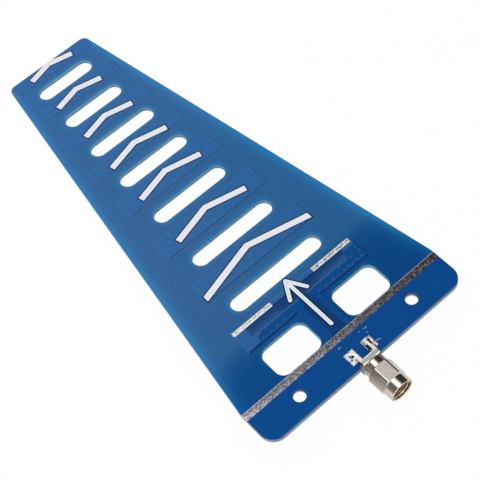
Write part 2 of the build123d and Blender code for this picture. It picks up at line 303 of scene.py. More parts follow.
def side_distance(finish):
    """How far a point of the board is inside its nearer long side, in metres."""
    slope = (HALF_REAR - HALF_TIP) / (BOARD_LENGTH - TAPER_START)
    drop = finish.maths("MAXIMUM", finish.minus(finish.y, from_rear(TAPER_START)), 0.0)
    half = finish.minus(HALF_REAR * MM, finish.times(drop, slope))
    return finish.minus(half, finish.size(finish.x))


def rounded_distance(finish, x, y, half_x, half_y, radius):
    """How far a point is outside a rounded rectangle with those half sizes, in metres."""
    gaps = [finish.maths("MAXIMUM", finish.minus(finish.size(value), (half - radius) * MM), 0.0)
            for value, half in ((x, half_x), (y, half_y))]
    return finish.minus(finish.distance(*gaps), radius * MM)


def cutout_distance(finish):
    """How far a point of the board is from the nearest slot or window, in metres."""
    aside = finish.minus(finish.size(finish.x), WINDOW_CENTRE[0] * MM)
    along = finish.minus(finish.y, from_rear(WINDOW_CENTRE[1]))
    length, width = WINDOW_SIZE
    nearest = rounded_distance(finish, aside, along, length / 2, width / 2, WINDOW_RADIUS)
    for centre, length in SLOTS:
        along = finish.minus(finish.y, from_rear(centre))
        slot = rounded_distance(finish, finish.x, along, length / 2, SLOT_RADIUS, SLOT_RADIUS)
        nearest = finish.maths("MINIMUM", nearest, slot)
    return nearest


def laminate():
    """Glass-epoxy board: satin blue mask above and below, pale cut walls with their glass layers."""
    finish = Finish("blue_masked_laminate", roughness=0.38, specular=0.06)
    side = side_distance(finish)
    # light that enters the cut edges makes the mask glow beside them
    ahead = finish.along(13.0, 40.0)
    glow_colour = finish.mix(ahead, (4, 94, 156), (55, 125, 183))
    glow_colour = finish.mix(less_sheen_share(finish), glow_colour, (192, 250, 254), "MULTIPLY")
    side_glow = finish.plus(finish.times(finish.fade(side, 2.6, 0.5), 0.62),
                            finish.times(finish.fade(side, 6.5, 1.0), 0.33))
    cut_share = finish.plus(finish.times(ahead, 0.45), 0.06)
    cut_glow = finish.times(finish.fade(cutout_distance(finish), 2.0, 0.1), cut_share)
    glow = finish.times(finish.maths("MAXIMUM", side_glow, cut_glow),
                        finish.minus(1.0, finish.behind(10.4)))
    # bare board is deeper between the feed lines; inside the driven element's loop it is painted with
    # shade, darkest towards the loop's front arm and its middle
    wide = finish.size(finish.x)
    lane = finish.times(finish.under(wide, 2.9), finish.behind(LOOP_REAR))
    face = finish.mix(finish.times(lane, 0.85), mask_colour(finish), (8, 58, 114))
    within = finish.times(finish.under(wide, LOOP_HALF),
                          finish.times(finish.ahead_of(LOOP_REAR), finish.behind(LOOP_FRONT)))
    loop_shade = finish.ramp(finish.along(29.6, 32.2), [
        (0.0, (40, 84, 134)), (0.5, (28, 71, 124)), (1.0, (15, 55, 111))])
    loop_shade = finish.mix(finish.times(finish.fade(wide, 9.0, 6.0), 0.6), loop_shade, (12, 54, 108))
    face = finish.mix(glow, finish.mix(within, face, loop_shade), glow_colour)
    weave = finish.noise(2600, 2, stretch=(1.0, 0.28, 1.0))
    face = finish.mix(finish.step(weave, 0.35, 0.8), face, (232, 246, 250), "MULTIPLY")
    rear_line = finish.times(finish.along(0.45, 0.1), 0.5)
    face = finish.mix(rear_line, face, (104, 142, 178))
    layers = finish.noise(1.0, 3, stretch=(300, 300, 5200))
    inner_wall = finish.ramp(layers, [
        (0.25, (92, 154, 190)), (0.5, (118, 176, 206)), (0.75, (146, 196, 218))])
    foot = finish.times(finish.fade(finish.z, 0.62, 0.30), 0.5)
    inner_wall = finish.mix(foot, inner_wall, (84, 132, 168))
    rear_wall = finish.ramp(layers, [
        (0.2, (124, 130, 144)), (0.5, (150, 153, 162)), (0.8, (180, 180, 186))])
    side_wall = finish.ramp(layers, [
        (0.2, (168, 200, 220)), (0.5, (196, 220, 232)), (0.8, (214, 232, 240))])
    outer_wall = finish.mix(finish.along(10.0, 16.0), rear_wall, side_wall)
    # each mounting hole's wall: a painted highlight at its upper edge, a dark ring under it, and the cut
    # below painted bright as lit
    hole_wall = finish.ramp(finish.times(finish.z, 1 / (BOARD_TOP * MM)), [
        (0.40, (236, 232, 226)), (0.52, (72, 66, 68)), (0.80, (78, 74, 80)), (0.88, (150, 158, 172))])
    reach = finish.distance(finish.minus(wide, HOLE_OFFSET * MM), finish.y)
    outside = finish.maths("MAXIMUM", finish.under(side, 0.25), finish.behind(1.5))
    wall = finish.mix(finish.under(reach, 2.3), finish.mix(outside, inner_wall, outer_wall), hole_wall)
    cut = finish.times(finish.over(finish.z, 0.01), finish.under(finish.z, BOARD_TOP - 0.01))
    grain = finish.bump(finish.noise(900, 4), 0.012, 0.4)
    return finish.set(Base_Color=finish.mix(cut, face, wall), Normal=grain)


def masked_copper(name, shoulders=False, on_loop=False):
    """Copper foil under the same mask: a little deeper blue, with a fine orange peel."""
    finish = Finish(name, roughness=0.34, specular=0.07)
    colour = loop_colour(finish) if on_loop else mask_colour(finish, (-1, 2, 8))
    peel = finish.noise(700, 5)
    colour = finish.mix(finish.step(peel, 0.35, 0.8), colour, (226, 244, 249), "MULTIPLY")
    if shoulders:
        # painted shade where the shoulders face the plug, on the directors also where they face right,
        # stronger nearer the plug; a painted highlight where they face the tip, on the directors also
        # where they face left
        across, along, up = finish.axes(finish.facing)
        turned = along if on_loop else finish.plus(along, finish.times(across, -0.7))
        near = finish.plus(finish.times(finish.along(120.0, 45.0), 0.45), 0.3)
        colour = finish.mix(finish.times(finish.step(turned, -0.02, -0.16), near), colour, (9, 42, 92))
        pale = finish.times(finish.step(turned, 0.02, 0.16), 0.4 if on_loop else 0.16)
        colour = finish.mix(pale, colour, (88, 138, 190))
    if on_loop:
        # a painted highlight along the rear edge of the loop, outside the feed lines
        line = finish.times(finish.along(25.9, 26.0), finish.along(26.4, 26.22))
        line = finish.times(line, finish.fade(finish.size(finish.x), 6.0, 6.4))
        colour = finish.mix(line, colour, (76, 124, 184))
    return finish.set(Base_Color=colour, Normal=finish.bump(peel, 0.012, 0.5))


def loop_colour(finish):
    """Mask over the driven element: deep on the feed lines and the loop's rear run, lighter ahead with a
    painted sheen, whose edge lies further back at the left end and further ahead at the right end.
    """
    right_end, left_end = finish.fade(finish.x, 17.0, 19.0), finish.fade(finish.x, -17.0, -19.0)
    lag = finish.times(finish.minus(right_end, left_end), 2.7 * MM)
    share = finish.step(finish.minus(finish.y, lag), from_rear(28.4), from_rear(29.4))
    return finish.mix(share, (4, 73, 138), (44, 96, 155))


def tented_via():
    """Mask over a plated hole: a painted highlight on its rim and painted shade in its dimple."""
    finish = Finish("mask_over_via", roughness=0.3, specular=0.2)
    dimple = finish.times(finish.fade(finish.z, FOIL_TOP + 0.012, FOIL_TOP + 0.002), 0.85)
    rim = finish.times(finish.fade(finish.z, FOIL_TOP + 0.014, FOIL_TOP + 0.02), 0.36)
    colour = finish.mix(dimple, mask_colour(finish, (4, 10, 16)), (6, 36, 82))
    colour = finish.mix(rim, colour, (104, 146, 196))
    return finish.set(Base_Color=colour, Normal=finish.bump(finish.noise(800, 2), 0.01, 0.3))


def foil_shade_material():
    """Painted shade where the mask dips behind the copper: navy, fading out where it rises again."""
    finish = Finish("mask_dip", roughness=0.36, specular=0.09)
    behind = finish.mix(finish.along(60.0, 125.0), mask_colour(finish, (-11, -16, -20)),
                        mask_colour(finish, (-4, -6, -8)))
    shade = finish.mix(finish.along(38.0, 36.0), behind, (0, 52, 115))
    deep = finish.fade(finish.z, BOARD_TOP + 0.006, BOARD_TOP + 0.03)
    colour = finish.mix(deep, mask_colour(finish), shade)
    return finish.set(Base_Color=colour, Normal=finish.bump(finish.noise(700, 4), 0.01, 0.4))


def screen_print(name, thick, thin, dark_below, rim=None):
    """White ink: dense in the middle, thin where the mask's blue shows through, painted shade at its edge,
    and a painted highlight on its slope where a rim colour is given.
    """
    finish = Finish(name, roughness=0.62, specular=0.2)
    fibre = finish.noise(2400, 3)
    colour = finish.ramp(fibre, [(0.3, tuple(part - 10 for part in thick)), (0.6, thick)])
    patch = finish.times(finish.step(finish.noise(330, 4), 0.52, 0.8), 0.3)
    colour = finish.mix(patch, colour, thin)
    # a painted highlight on the sloped edge
    if rim:
        colour = finish.mix(finish.fade(finish.z, INK_TOP - 0.0005, INK_TOP - 0.002), colour, rim)
    # painted shade at the foot of the ink's edge
    edge = finish.times(finish.fade(finish.z, dark_below + 0.001, dark_below - 0.001), 0.85)
    colour = finish.mix(edge, colour, (20, 56, 104))
    return finish.set(Base_Color=colour, Normal=finish.bump(fibre, 0.02, 0.6))


def bar_tin():
    """Hot-levelled tin of the bar: fine grey lumps, brighter towards the left end with a painted sheen."""
    finish = Finish("mottled_tin_bar", metallic=0.55, roughness=0.42)
    lumps = finish.noise(2100, 6, 0.74)
    bright = finish.ramp(lumps, [(0.38, (104, 102, 112)), (0.5, (164, 162, 172)), (0.6, (238, 238, 246))])
    dull = finish.ramp(lumps, [(0.38, (8, 6, 14)), (0.5, (42, 38, 44)), (0.62, (146, 140, 144))])
    # painted sheen: the bright lumps take over towards the left end
    across = finish.plus(finish.times(finish.x, 0.5 / (HALF_REAR * MM)), 0.5)
    share = finish.ramp(across, [
        (0.0, 1.0), (0.1, 0.6), (0.3, 0.5), (0.5, 0.28), (0.75, 0.1), (1.0, 0.0)])
    colour = finish.mix(share, dull, bright)
    # duller along its front half, up to a pale rim
    colour = finish.mix(finish.along(11.3, 12.2), colour, (214, 212, 216), "MULTIPLY")
    rim = finish.times(finish.along(12.45, 12.75), 0.45)
    colour = finish.mix(rim, colour, (226, 224, 226))
    return finish.set(Base_Color=colour, Normal=finish.bump(lumps, 0.1, 0.7))


def strip_tin():
    """Tin of the two tuning strips: white lumps, specks along the middle, a dark outline."""
    finish = Finish("bright_tin_strip", metallic=0.15, roughness=0.4)
    specks = finish.noise(1.0, 4, 0.85, stretch=(1900, 3300, 900))
    off_line = finish.size(finish.minus(finish.y, STRIP_MIDDLE * MM))
    # the specks are grey on the left strip, black and more on the right one
    right = finish.over(finish.x, 0.0)
    speck = finish.mix(right, (112, 106, 108), (18, 18, 24))
    depth = finish.plus(finish.times(right, 0.03), 0.08)
    white = finish.minus(specks, finish.times(finish.fade(off_line, 0.62, 0.15), depth))
    colour = finish.mix(finish.step(white, 0.36, 0.44), speck, (250, 248, 248))
    front = finish.times(finish.along(33.7, 34.2), 0.5)
    colour = finish.mix(front, colour, (186, 192, 208), "MULTIPLY")
    edge = finish.times(finish.fade(off_line, STRIP_HALF - 0.22, STRIP_HALF - 0.05), 0.7)
    colour = finish.mix(edge, colour, (70, 84, 112))
    return finish.set(Base_Color=colour, Normal=finish.bump(specks, 0.1, 0.7))


def bright_solder():
    """Hand-laid solder with painted reflections: white with dark patches on the left joint, white and dark
    streaks along the leg on the right one.
    """
    finish = Finish("frosted_solder", roughness=0.26)
    flow = finish.noise(620, 4, 0.62)
    # painted reflections on the left joint: dark patches in the white
    skin_with_reflections = finish.ramp(flow, [(0.35, (40, 36, 42)), (0.40, (170, 168, 174)), (0.44, (254, 254, 255))])
    # painted reflections on the right joint: white and dark streaks along the leg, which also shape the
    # bump
    folds_and_streaks = finish.noise(1.0, 3, 0.6, stretch=(1500, 260, 900))
    painted_streaks = finish.ramp(folds_and_streaks, [(0.40, (24, 20, 24)), (0.47, (140, 132, 128)), (0.52, (254, 252, 250))])
    colour = finish.mix(finish.over(finish.x, 0.0), skin_with_reflections, painted_streaks)
    for pit_x, pit_y, reach in SOLDER_PITS:
        away = finish.distance(finish.minus(finish.x, pit_x * MM), finish.minus(finish.y, pit_y * MM))
        colour = finish.mix(finish.fade(away, reach, 0.7 * reach), colour, (10, 8, 10))
    # painted shade: the foot is darker where it meets the mask
    foot = finish.times(finish.fade(finish.z, BOARD_TOP + 0.35, BOARD_TOP + 0.08), 0.7)
    colour = finish.mix(foot, colour, (44, 44, 56))
    height = finish.plus(flow, finish.times(folds_and_streaks, 0.5))
    # the dark places shine less
    return finish.set(Base_Color=colour, Specular_IOR_Level=colour, Normal=finish.bump(height, 0.2, 0.55))


def from_plug_axis(finish):
    """How far a point is from the plug's axis, in metres."""
    return finish.distance(finish.x, finish.minus(finish.z, AXIS_HEIGHT * MM))


def nut_nickel():
    """The coupling nut: turned ends, stippled flats, the left one browner with a painted reflection, brass
    bare in the mouth.
    """
    finish = Finish("nickel_nut", metallic=1.0)
    reach = from_plug_axis(finish)
    stain = finish.times(finish.step(finish.noise(420, 4), 0.45, 0.85), 0.35)
    colour = finish.mix(stain, (218, 206, 194), (192, 176, 158))
    on_hexagon = finish.times(finish.ahead_of(-9.15), finish.behind(-3.2))
    flat = finish.times(on_hexagon, finish.fade(reach, 4.52, 4.40))
    stipple = finish.noise(3600, 3)
    pale = finish.mix(finish.step(stipple, 0.36, 0.62), (200, 189, 183), (234, 224, 218))
    across, along, up = finish.axes(finish.facing)
    # painted reflection on the left flat: lighter below, darker towards its top corner
    left_flat_reflection = finish.mix(finish.fade(finish.z, -0.4, 3.4), (222, 204, 188), (170, 158, 148))
    pale = finish.mix(finish.step(across, -0.6, -0.8), pale, left_flat_reflection)
    colour = finish.mix(flat, colour, pale)
    mouth = finish.times(finish.fade(reach, 3.74, 3.64), finish.behind(-6.0))
    brass = finish.ramp(finish.noise(1500, 3), [
        (0.38, (140, 106, 74)), (0.5, (214, 192, 162)), (0.62, (240, 228, 208))])
    colour = finish.mix(mouth, colour, brass)
    lead_in = finish.times(finish.fade(reach, 3.44, 3.38), finish.behind(-11.7))
    colour = finish.mix(lead_in, colour, (168, 136, 92))
    turned = finish.bump(finish.noise(1.0, 2, stretch=(120, 9000, 120)), 0.006, 0.2)
    grain = finish.bump(finish.times(stipple, flat), 0.012, 0.6, turned)
    rough = finish.plus(finish.times(flat, 0.16), 0.11)
    return finish.set(Base_Color=colour, Roughness=rough, Normal=grain)


def thread_brass():
    """Bare brass of the thread: painted highlights on the crests, brown down in the roots."""
    finish = Finish("thread_brass", metallic=0.5, roughness=0.3)
    reach = from_plug_axis(finish)
    # a painted highlight on the turn nearest the mouth
    lit_turn = finish.times(finish.along(-10.85, -11.0), finish.fade(reach, 3.28, 3.2))
    crest = finish.maths("MAXIMUM", lit_turn, finish.times(finish.fade(reach, 3.18, 3.04), 0.25))
    grain = finish.noise(1.0, 3, stretch=(300, 5000, 300))
    worn = finish.times(finish.step(grain, 0.4, 0.7), 0.3)
    colour = finish.mix(crest, finish.mix(worn, (172, 122, 92), (188, 146, 98)), (255, 252, 240))
    metallic = finish.plus(finish.times(crest, 0.5), 0.5)
    return finish.set(Base_Color=colour, Metallic=metallic, Normal=finish.bump(grain, 0.008, 0.4))


def plug_nickel():
    """The plug's body: grey milled top with painted highlights at its edges and on the legs, end faces
    painted darker as shade, solder-covered right leg with a painted highlight.
    """
    finish = Finish("nickel_plug_body", metallic=0.83, roughness=0.22)
    stain = finish.times(finish.step(finish.noise(500, 4), 0.42, 0.8), 0.5)
    colour = finish.mix(stain, (226, 208, 186), (196, 174, 150))
    # painted highlights on the top beside the grey milled middle: at its edges and along the legs
    top = finish.over(finish.z, FLANGE_TOP - 0.22)
    off_middle = finish.size(finish.minus(finish.y, from_rear(0.43)))
    grey_top = finish.mix(finish.fade(off_middle, 0.48, 0.66), (188, 192, 178), (255, 252, 244))
    colour = finish.mix(top, colour, grey_top)
    # painted shade on the end faces
    end_face = finish.times(finish.over(finish.size(finish.x), 3.14), finish.minus(1.0, top))
    colour = finish.mix(finish.times(end_face, 0.8), colour, (128, 108, 92))
    # painted highlight on the solder-covered right leg
    solder_highlight = finish.times(finish.fade(finish.x, 1.9, 2.2), finish.along(1.2, 1.9))
    colour = finish.mix(finish.times(solder_highlight, 0.8), colour, (252, 250, 246))
    milled = finish.noise(1.0, 3, stretch=(4200, 260, 260))
    return finish.set(Base_Color=colour, Normal=finish.bump(milled, 0.008, 0.35))


def clouded(name, scale, stops, grain, **look):
    """One of the small plain materials: soft clouds between two colours, and a faint grain."""
    finish = Finish(name, **look)
    cloud = finish.noise(scale)
    return finish.set(Base_Color=finish.ramp(cloud, stops), Normal=finish.bump(cloud, *grain))


gold = clouded("gold_plate", 900, [(0.35, (206, 158, 84)), (0.65, (236, 196, 120))], (0.01, 0.4),
               metallic=1.0, roughness=0.2)
finishes = {
    "board": laminate(),
    "masked_foil": masked_copper("mask_over_copper"),
    "white_print": screen_print("white_screen_print", (238, 238, 246), (204, 216, 236), INK_TOP - 0.01),
    "tin": bar_tin(),
    "solder": bright_solder(),
    "nickel": nut_nickel(),
    "spring_bronze": gold,
    "gold_contact": gold,
    "dielectric": clouded("white_dielectric", 500, [(0.3, (226, 224, 216)), (0.7, (240, 239, 233))],
                          (0.01, 0.4), roughness=0.45),
    "gasket": clouded("red_silicone", 700, [(0.3, (128, 38, 30)), (0.7, (160, 52, 40))],
                      (0.01, 0.4), roughness=0.6),
}
flux = clouded("dried_flux", 1800, [(0.35, (64, 118, 172)), (0.65, (158, 192, 222))], (0.02, 0.5),
               roughness=0.3, specular=0.4)
# painted shade round the chevrons and the arrow
chevron_line, arrow_line = (
    clouded(name, 900, [(0.3, deep), (0.7, light)], (0.01, 0.3), roughness=0.4, specular=0.08)
    for name, deep, light in (("shade_round_chevrons", (10, 36, 74), (18, 48, 92)),
                              ("shade_round_arrow", (2, 14, 40), (6, 22, 56))))


def node_slot(name):
    """The record's material slot of a CAD node, from how its name starts."""
    return next(slot for slot, starts in {
        "board": "circuit_board",
        "masked_foil": ("director_", "back_director_", "driven", "ground", "back_ground", "feed"),
        "white_print": ("chevron_", "aim_arrow"),
        "tin": ("tuning_strip", "reflector_bar"),
        "solder": "solder_",
        "nickel": ("plug_body", "coupling_nut"),
        "spring_bronze": "retaining_ring",
        "gold_contact": "centre_contact",
        "dielectric": "dielectric",
        "gasket": "gasket",
    }.items() if name.startswith(starts))


for name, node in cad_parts.items():
    node.data.materials.clear()
    node.data.materials.append(plug_nickel() if name == "plug_body" else finishes[node_slot(name)])


# New pieces. Each starts from a primitive or from a merged copy of its node, and ends with its place in
# its mesh.
def only(piece):
    """Make a piece the only one selected, and the active one."""
    bpy.ops.object.select_all(action="DESELECT")
    piece.select_set(True)
    bpy.context.view_layer.objects.active = piece


def begin(primitive, **settings):
    """A piece from one of Blender's primitives, the only one selected."""
    bpy.ops.object.select_all(action="DESELECT")
    primitive(**settings)
    return bpy.context.object


@contextmanager
def editing(piece):
    """Edit a piece, with its whole mesh selected at the start."""
    only(piece)
    bpy.ops.object.mode_set(mode="EDIT")
    bpy.ops.mesh.select_all(action="SELECT")
    yield
    bpy.ops.object.mode_set(mode="OBJECT")


def pick(piece, kind, test):
    """In edit mode, select just the vertices, edges or faces that pass the test."""
    bpy.ops.mesh.select_all(action="DESELECT")
    bpy.ops.mesh.select_mode(type=kind)
    mesh = bmesh.from_edit_mesh(piece.data)
    for item in {"VERT": mesh.verts, "EDGE": mesh.edges, "FACE": mesh.faces}[kind]:
        item.select_set(bool(test(item)))
    mesh.select_flush_mode()
    bmesh.update_edit_mesh(piece.data)


def apply_modifier(piece, modifier):
    only(piece)
    bpy.ops.object.modifier_apply(modifier=modifier.name)


def hand_over(piece, name, body, material, smooth=None):
    """Name a piece, put its place into its mesh, and let it ride on its body."""
    only(piece)
    bpy.ops.object.transform_apply(location=True, rotation=True, scale=True)
    piece.name = piece.data.name = name
    piece.data.materials.clear()
    piece.data.materials.append(material)
    if smooth is not None:
        bpy.ops.object.shade_smooth_by_angle(angle=math.radians(smooth))
    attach(piece, body)


def merged_copy(name):
    """A copy of a CAD node with its loose triangles joined into whole faces."""
    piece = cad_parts[name].copy()
    piece.data = piece.data.copy()
    piece.parent = None
    for key in list(piece.keys()):
        del piece[key]
    bpy.context.scene.collection.objects.link(piece)
    with editing(piece):
        bpy.ops.mesh.remove_doubles(threshold=0.001 * MM)
        bpy.ops.mesh.dissolve_limited(angle_limit=math.radians(0.5))
    return piece


def slope_shoulder(piece, top, shoulder, drop):
    """In edit mode, inset a flat layer's top and lower it at its outer edge."""
    level = (top - LEVEL) * MM
    pick(piece, "FACE", lambda face: face.normal.z > 0.9 and face.calc_center_median().z > level)
    bpy.ops.mesh.inset(thickness=shoulder * MM, depth=0)
    mesh = bmesh.from_edit_mesh(piece.data)
    kept = {vertex for face in mesh.faces if face.select for vertex in face.verts}
    pick(piece, "VERT", lambda vertex: vertex.co.z > level and vertex not in kept)
    bpy.ops.transform.translate(value=(0, 0, -drop * MM))


def draped(name, suffix, shoulder, top, drop, material):
    """A flat layer whose top slopes down all round: mask over etched copper, or the edge of the ink."""
    piece = merged_copy(name)
    with editing(piece):
        slope_shoulder(piece, top, shoulder, drop)
    hand_over(piece, f"{name}_{suffix}", "antenna", material)
    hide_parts(name)


def shade_layer(name, shift, material):
    """Painted shade where the mask dips behind a foil: a copy of the foil, lower and moved back, that
    shows at two edges.
    """
    piece = merged_copy(name)
    with editing(piece):
        slope_shoulder(piece, FOIL_TOP, DIP_SHOULDER, DIP_DROP)
        bpy.ops.mesh.select_all(action="SELECT")
        bpy.ops.transform.translate(value=(shift[0] * MM, shift[1] * MM, -DIP_DEPTH * MM))
    hand_over(piece, name + "_dip", "antenna", material)


def ink_outline(name, material):
    """A dark line round a printed mark: painted shade on the mask just outside the ink's edge."""
    piece = merged_copy(name)
    tip = cad_high.y - 0.05 * MM
    with editing(piece):
        # no line along the board's end, which cuts one mark
        pick(piece, "FACE", lambda face: abs(face.normal.z) > 0.5 or face.calc_center_median().y > tip)
        bpy.ops.mesh.delete(type="FACE")
    wall = piece.modifiers.new("outward", "SOLIDIFY")
    wall.thickness = OUTLINE_WIDTH * MM
    wall.offset = 1.0
    wall.use_even_offset = True
    apply_modifier(piece, wall)
    for vertex in piece.data.vertices:
        vertex.co.y = min(vertex.co.y, cad_high.y)
        if vertex.co.z > (FOIL_TOP - LEVEL) * MM:
            vertex.co.z = (FOIL_TOP + 0.006) * MM
    hand_over(piece, name + "_outline", "antenna", material)


def via(radius):
    """One plated hole under the mask: a low ring with a dimple, 12-sided because it is so small."""
    piece = begin(bpy.ops.mesh.primitive_cylinder_add, vertices=12, radius=radius * MM, depth=0.04 * MM)
    with editing(piece):
        pick(piece, "FACE", lambda face: face.normal.z > 0.9)
        for share, rise in ((0.25, 0.012), (0.2, 0), (0.2, -0.022)):
            bpy.ops.mesh.inset(thickness=share * radius * MM, depth=rise * MM)
    return piece


def via_field(name, places, radius, material):
    """Copies of one via at those places, joined into one piece."""
    first = via(radius)
    copies = []
    for x, y in places:
        mesh = first.data.copy()
        mesh.transform(Matrix.Translation((x * MM, y * MM, (FOIL_TOP - 0.01) * MM)))
        copy = bpy.data.objects.new(name, mesh)
        bpy.context.scene.collection.objects.link(copy)
        copies.append(copy)
    bpy.data.objects.remove(first)
    only(copies[0])
    for copy in copies:
        copy.select_set(True)
    bpy.ops.object.join()
    hand_over(bpy.context.object, name, "antenna", material)


def lumpy_strip(name, foot, cells, lump, material):
    """Tin levelled by hot air: a low crown covered in small lumps."""
    shoulder, crown_level, lowest = 0.45, 0.62, 0.12
    low, high = box(name)
    centre, size = [(a + b) / 2 for a, b in zip(low, high)], [b - a for a, b in zip(low, high)]
    height = high.z - foot
    piece = begin(bpy.ops.mesh.primitive_grid_add, x_subdivisions=cells[0], y_subdivisions=cells[1],
                  size=1, location=(centre[0] * MM, centre[1] * MM, foot * MM))
    piece.dimensions = (size[0] * MM, size[1] * MM, 0)
    bpy.ops.object.transform_apply(location=True, rotation=True, scale=True)
    with editing(piece):
        bpy.ops.mesh.extrude_region_move(TRANSFORM_OT_translate={"value": (0, 0, height * MM)})
    for vertex in piece.data.vertices:
        x, y, z = (part / MM for part in vertex.co)
        if z < foot + height / 2:
            continue
        inward = min(size[0] / 2 - abs(x - centre[0]), size[1] / 2 - abs(y - centre[1]))
        crown = clamp(inward / shoulder) ** 0.5
        coarse = noise.noise(Vector((x * 1.9, y * 2.6, 3.1)))
        fine = noise.noise(Vector((x * 5.3, y * 6.1, 8.7)))
        rise = crown * (crown_level + lump * coarse + 0.6 * lump * fine)
        vertex.co.z = (foot + height * clamp(rise, lowest)) * MM
    piece.data.update()
    hand_over(piece, name + "_tin", "antenna", material, smooth=60)
    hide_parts(name)


def solder_lump(name, seed, rough, material):
    """A hand-soldered joint: a wetted foot, a crown that leans in and sags, and frozen facets."""
    lean_in, sag_at_edge, facet_share, flow_share = 0.30, 0.34, 0.30, 0.30
    low, high = box(name)
    centre, size = [(a + b) / 2 for a, b in zip(low, high)], [b - a for a, b in zip(low, high)]
    piece = begin(bpy.ops.mesh.primitive_cube_add, size=1, location=[part * MM for part in centre])
    piece.dimensions = [part * MM for part in size]
    bpy.ops.object.transform_apply(location=True, rotation=True, scale=True)
    with editing(piece):
        bpy.ops.mesh.subdivide(number_cuts=11)
    foot, crown = (low.z, high.z) if high.z > 0 else (high.z, low.z)
    for vertex in piece.data.vertices:
        x, y, z = (part / MM for part in vertex.co)
        up = clamp((z - foot) / (crown - foot))
        lean = 1 - lean_in * up ** 1.5
        edge = max(abs((x - centre[0]) / size[0] * 2), abs((y - centre[1]) / size[1] * 2))
        sag = 1 - sag_at_edge * edge ** 4
        facet = noise.cell_vector(Vector((x * 1.35 + seed, y * 1.15, z * 1.1))) - Vector((0.5, 0.5, 0.5))
        flow = noise.noise_vector(Vector((x * 0.9 + seed, y * 0.9, z * 0.9)))
        shift = (facet * facet_share + flow * flow_share) * rough * (0.25 + 0.75 * up)
        x = centre[0] + (x - centre[0]) * lean + shift.x * 0.5
        y = centre[1] + (y - centre[1]) * lean + shift.y * 0.5
        z = foot + (z - foot) * sag
        if up > 0.02:
            z += shift.z * (crown - foot) * 0.55
        vertex.co = [clamp(*part) * MM for part in zip((x, y, z), low, high)]
    piece.data.update()
    melt = piece.modifiers.new("melt", "SMOOTH")
    melt.iterations = 1
    melt.factor = 0.4
    apply_modifier(piece, melt)
    hand_over(piece, name + "_bead", "antenna", material, smooth=32)
    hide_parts(name)


def turned_ring(section):
    """A section of stations and radii turned round the plug's axis into one closed shell."""
    piece = begin(bpy.ops.mesh.primitive_circle_add, vertices=len(section), radius=1, fill_type="NOTHING")
    for vertex, (station, radius) in zip(piece.data.vertices, section):
        vertex.co = (0, from_rear(-station), (AXIS_HEIGHT + radius) * MM)
    with editing(piece):
        bpy.ops.mesh.spin(steps=96, angle=2 * math.pi, center=(0, 0, AXIS_HEIGHT * MM), axis=(0, 1, 0))
        bpy.ops.mesh.select_all(action="SELECT")
        bpy.ops.mesh.remove_doubles(threshold=MERGED * MM)
        bpy.ops.mesh.normals_make_consistent(inside=False)
    return piece


def carve(piece, operation, other):
    """Join, cut or trim a piece with another one, which is used up."""
    cut = piece.modifiers.new(operation, "BOOLEAN")
    cut.operation = operation
    cut.object = other
    cut.solver = "EXACT"
    apply_modifier(piece, cut)
    bpy.data.objects.remove(other)


def nut_shell(material):
    """The coupling nut again, with rounded corners between its flats that catch the light."""
    corner, chamfer = HALF_FLATS / math.cos(math.radians(30)), math.tan(math.radians(36))
    piece = begin(
        bpy.ops.mesh.primitive_cylinder_add, vertices=6, radius=corner * MM,
        depth=(HEXAGON_END - HEXAGON_START) * MM, rotation=(math.pi / 2, 0, 0),
        location=(0, from_rear(-(HEXAGON_START + HEXAGON_END) / 2), AXIS_HEIGHT * MM))
    bpy.ops.object.transform_apply(location=True, rotation=True, scale=True)
    with editing(piece):
        # a corner to each side, a flat on top
        if max(vertex.co.x for vertex in piece.data.vertices) / MM < corner - 0.1:
            bpy.ops.transform.rotate(value=math.radians(30), orient_axis="Y",
                                     center_override=(0, 0, AXIS_HEIGHT * MM))
        pick(piece, "EDGE", lambda edge: abs(edge.verts[0].co.y - edge.verts[1].co.y) > 1.0 * MM)
        bpy.ops.mesh.bevel(offset=0.45 * MM, offset_type="OFFSET", segments=8, profile=0.5)
    # the hexagon's two ends are chamfered by turning
    carve(piece, "INTERSECT", turned_ring([
        (HEXAGON_START, 0), (HEXAGON_START, REAR_CHAMFER),
        (HEXAGON_START + (corner - REAR_CHAMFER) * chamfer, corner),
        (HEXAGON_END - (corner - COLLAR) * chamfer, corner), (HEXAGON_END, COLLAR), (HEXAGON_END, 0)]))
    # it is bored through, inside the wall of the turned skirt and collar that is joined to it
    bore_start, bore_end, bore = 2.5, 9.7, 3.5
    carve(piece, "DIFFERENCE", turned_ring([
        (bore_start, 0), (bore_start, bore), (bore_end, bore), (bore_end, 0)]))
    carve(piece, "UNION", turned_ring([
        (NUT_START, NUT_BORE), (NUT_START, 3.43), (NUT_START + 0.07, 3.56), (NUT_START + 0.25, SKIRT),
        (8.9, SKIRT), (8.9, COLLAR), (NUT_END - 0.25, COLLAR), (NUT_END - 0.12, 3.93),
        (NUT_END - 0.03, 3.84), (NUT_END, 3.73), (NUT_END, 3.4), (NUT_END - 0.2, MOUTH_BORE),
        (7.0, MOUTH_BORE), (6.9, GROOVE), (5.6, GROOVE), (5.6, NUT_BORE),
        (2.7, NUT_BORE), (2.7, RING_GROOVE), (1.9, RING_GROOVE), (1.9, NUT_BORE)]))
    with editing(piece):
        bpy.ops.mesh.remove_doubles(threshold=MERGED * MM)
    hand_over(piece, "coupling_nut_turned", "nut", material, smooth=24)
    weighted = piece.modifiers.new("flats_stay_flat", "WEIGHTED_NORMAL")
    weighted.keep_sharp = True
    apply_modifier(piece, weighted)
    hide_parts("coupling_nut")


